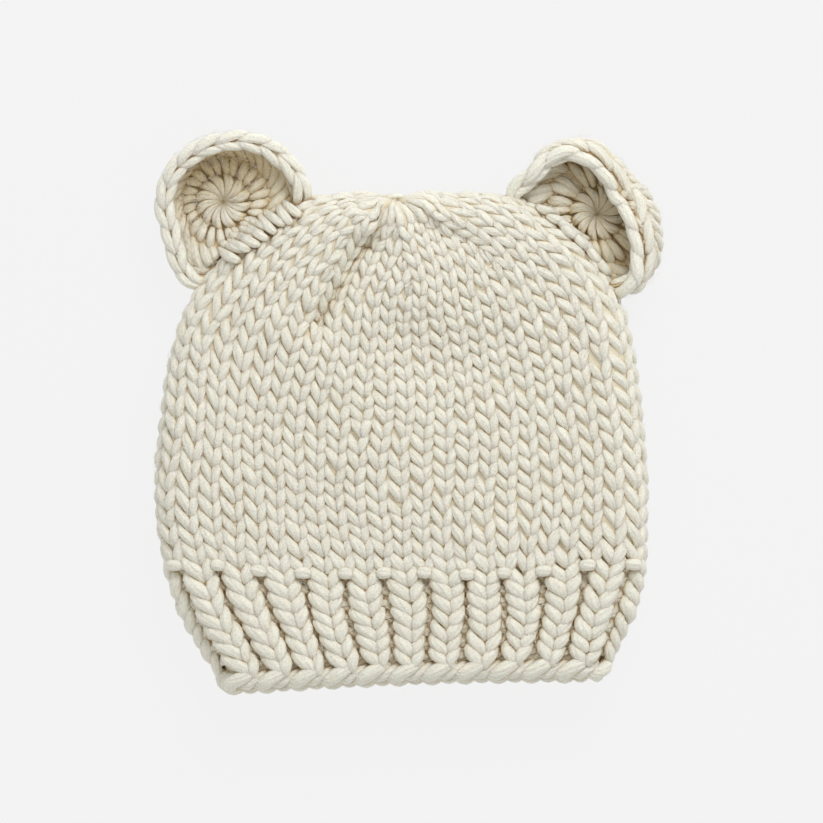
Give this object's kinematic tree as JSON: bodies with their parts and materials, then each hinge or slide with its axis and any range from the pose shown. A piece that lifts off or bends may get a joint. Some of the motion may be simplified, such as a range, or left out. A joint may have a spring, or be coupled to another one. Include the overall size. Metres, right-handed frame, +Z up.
{
  "type": "baby hat with ears",
  "caption": "Chunky cream knitted baby hat with a ribbed brim, a rope-like edge, a gathered top and crocheted cupped ears, lying flat on its back.",
  "frame": {"origin": "centre of the bounding box's underside, on the surface the hat lies on", "axes": "+X across the hat towards its right ear, +Y from the brim to the crown, +Z up from the surface it lies on"},
  "size_m": [0.183, 0.203, 0.0263],
  "materials": {
    "knitted_wool": "matt soft chunky wool, hand knitted",
    "crocheted_wool": "matt soft chunky wool, crocheted in the round"
  },
  "bodies": {
    "root": {"crown": "knitted_wool", "rib_band": "knitted_wool", "cast_on_edge": "knitted_wool", "ear_left": "crocheted_wool", "ear_left_edging": "crocheted_wool", "ear_right": "crocheted_wool", "ear_right_edging": "crocheted_wool"}
  },
  "joints": []
}
